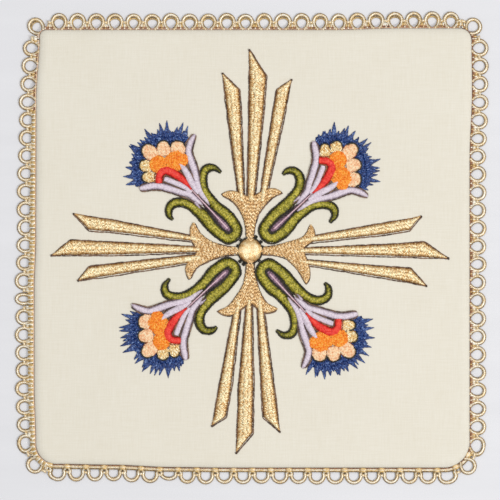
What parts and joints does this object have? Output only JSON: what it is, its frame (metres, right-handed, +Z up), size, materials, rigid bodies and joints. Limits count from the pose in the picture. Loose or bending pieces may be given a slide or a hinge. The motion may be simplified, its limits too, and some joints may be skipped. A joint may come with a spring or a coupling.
{
  "type": "chalice pall",
  "caption": "Stiff square linen cover for a cup, with a padded embroidered cross and flower sprays and a loop braid edge.",
  "frame": {"origin": "centre of the flat underside", "axes": "+Z up out of the embroidered face, +Y towards the back edge, +X to the right seen from above"},
  "size_m": [0.1744, 0.1741, 0.0045],
  "materials": {
    "ivory_linen": "plain woven linen, matt, with a fine even grain",
    "gold_braid": "gimp wound with metal thread, satin shine",
    "gold_thread": "metal thread in padded satin stitch, bright",
    "blue_thread": "rayon embroidery thread, silky",
    "green_thread": "rayon embroidery thread, silky",
    "lilac_thread": "rayon embroidery thread, silky",
    "red_thread": "rayon embroidery thread, silky",
    "orange_thread": "rayon embroidery thread, silky",
    "peach_thread": "rayon embroidery thread, silky",
    "outline_thread": "dark fine thread, matt"
  },
  "bodies": {
    "root": {"pall": "ivory_linen", "loop_braid_back": "gold_braid", "loop_braid_left": "gold_braid", "loop_braid_front": "gold_braid", "loop_braid_right": "gold_braid"}
  },
  "joints": []
}
